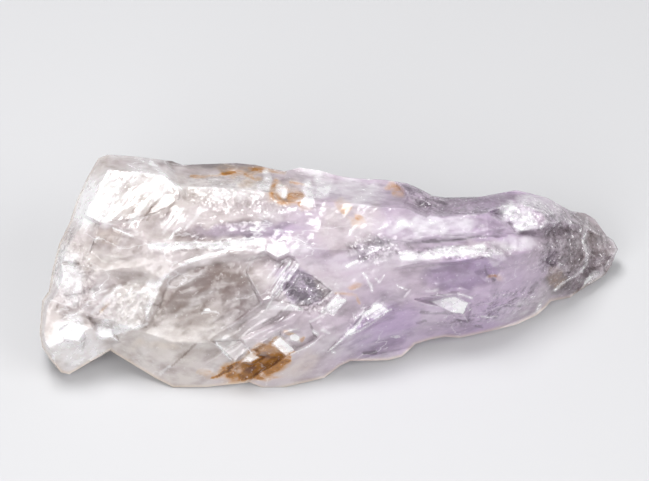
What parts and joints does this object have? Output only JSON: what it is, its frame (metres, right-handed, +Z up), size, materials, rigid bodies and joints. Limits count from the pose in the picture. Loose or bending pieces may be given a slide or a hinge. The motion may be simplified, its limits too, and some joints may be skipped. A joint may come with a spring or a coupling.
{
  "type": "rough amethyst crystal",
  "caption": "Rough, elongated amethyst crystal lying on its side, milky at the broken base and clearer towards the tip.",
  "frame": {"origin": "on the ground under the centre of the crystal's box", "axes": "+X along the crystal from the broken base to the tip, +Z up; the broad etched face is turned halfway up towards -Y"},
  "size_m": [0.0638, 0.0212, 0.0182],
  "materials": {
    "amethyst": "satin, etched natural crystal face"
  },
  "bodies": {
    "root": {"amethyst_crystal": "amethyst"}
  },
  "joints": []
}
